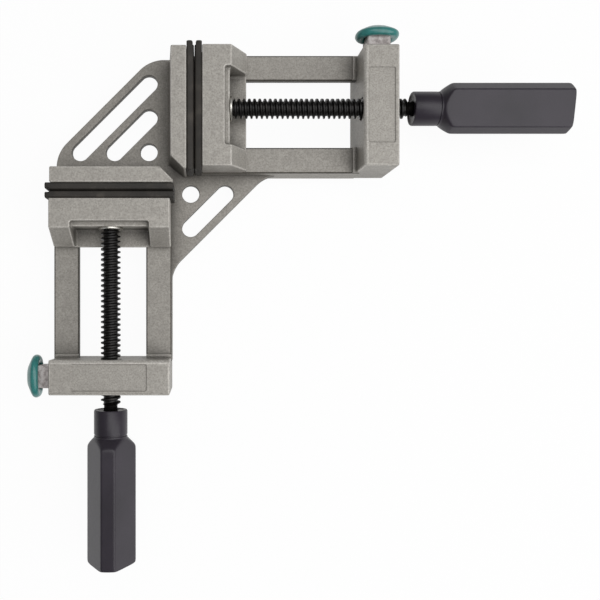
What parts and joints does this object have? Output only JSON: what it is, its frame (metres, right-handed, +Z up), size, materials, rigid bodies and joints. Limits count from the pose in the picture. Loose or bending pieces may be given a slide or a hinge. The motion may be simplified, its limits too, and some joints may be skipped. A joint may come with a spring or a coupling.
{
  "type": "corner clamp",
  "caption": "Bench corner clamp: two screw vices cast at a right angle, with padded jaws, rail-guided moving jaws, threaded spindles with hand grips and push buttons for quick release.",
  "frame": {"origin": "on the bench plane, under the middle of the whole clamp's bounding box at rest", "axes": "+Z up from the bench; one vice's screw runs out along +X, the other's along -Y; the corner of the work lies towards -X and +Y"},
  "size_m": [0.312, 0.312, 0.0452],
  "materials": {
    "casting": "die-cast, grit-blasted and clear lacquered, warm grey",
    "pad": "black, matt, ribbed",
    "black_steel": "black oxide, lightly oiled",
    "bright_steel": "zinc plated",
    "dark_plastic": "moulded, satin, dark grey",
    "teal_plastic": "moulded, smooth, teal",
    "slider_grey": "die-cast, tumbled, light grey"
  },
  "bodies": {
    "frame": {"frame_casting": "casting", "right_fixed_jaw_pad": "pad", "right_return_spring": "bright_steel", "front_fixed_jaw_pad": "pad", "front_return_spring": "bright_steel"},
    "right_jaw": {"right_moving_jaw": "casting", "right_moving_jaw_pad": "pad", "right_thrust_washer": "bright_steel", "right_retaining_clip": "bright_steel", "right_guide_plate": "bright_steel", "right_inner_guide_screw": "black_steel", "right_outer_guide_screw": "black_steel"},
    "right_screw": {"right_spindle": "black_steel", "right_handle": "dark_plastic"},
    "right_release": {"right_half_nut_slider": "slider_grey", "right_release_button": "teal_plastic"},
    "front_jaw": {"front_moving_jaw": "casting", "front_moving_jaw_pad": "pad", "front_thrust_washer": "bright_steel", "front_retaining_clip": "bright_steel", "front_guide_plate": "bright_steel", "front_inner_guide_screw": "black_steel", "front_outer_guide_screw": "black_steel"},
    "front_screw": {"front_spindle": "black_steel", "front_handle": "dark_plastic"},
    "front_release": {"front_half_nut_slider": "slider_grey", "front_release_button": "teal_plastic"}
  },
  "joints": [
    {"name": "right_jaw_slide", "type": "slide", "parent": "frame", "child": "right_jaw", "axis": [1, 0, 0], "range_m": [0, 0.065]},
    {"name": "right_spindle_turn", "type": "hinge", "parent": "right_jaw", "child": "right_screw", "pos_m": [-0.04395, 0.10785, 0.0309], "axis": [1, 0, 0], "range_deg": [0, 7801]},
    {"name": "right_release_press", "type": "slide", "parent": "frame", "child": "right_release", "axis": [0, -1, 0], "range_m": [0, 0.0035], "stiffness_N_per_m": 800, "springref_m": -0.003, "deforming": ["right_return_spring"]},
    {"name": "front_jaw_slide", "type": "slide", "parent": "frame", "child": "front_jaw", "axis": [0, -1, 0], "range_m": [0, 0.065]},
    {"name": "front_spindle_turn", "type": "hinge", "parent": "front_jaw", "child": "front_screw", "pos_m": [-0.10785, 0.04395, 0.0309], "axis": [0, -1, 0], "range_deg": [0, 7801]},
    {"name": "front_release_press", "type": "slide", "parent": "frame", "child": "front_release", "axis": [1, 0, 0], "range_m": [0, 0.0035], "stiffness_N_per_m": 800, "springref_m": -0.003, "deforming": ["front_return_spring"]}
  ],
  "couplings": [
    {"joint": "right_spindle_turn", "follows": "right_jaw_slide", "rad_per_m": 2094.4},
    {"joint": "front_spindle_turn", "follows": "front_jaw_slide", "rad_per_m": 2094.4}
  ]
}
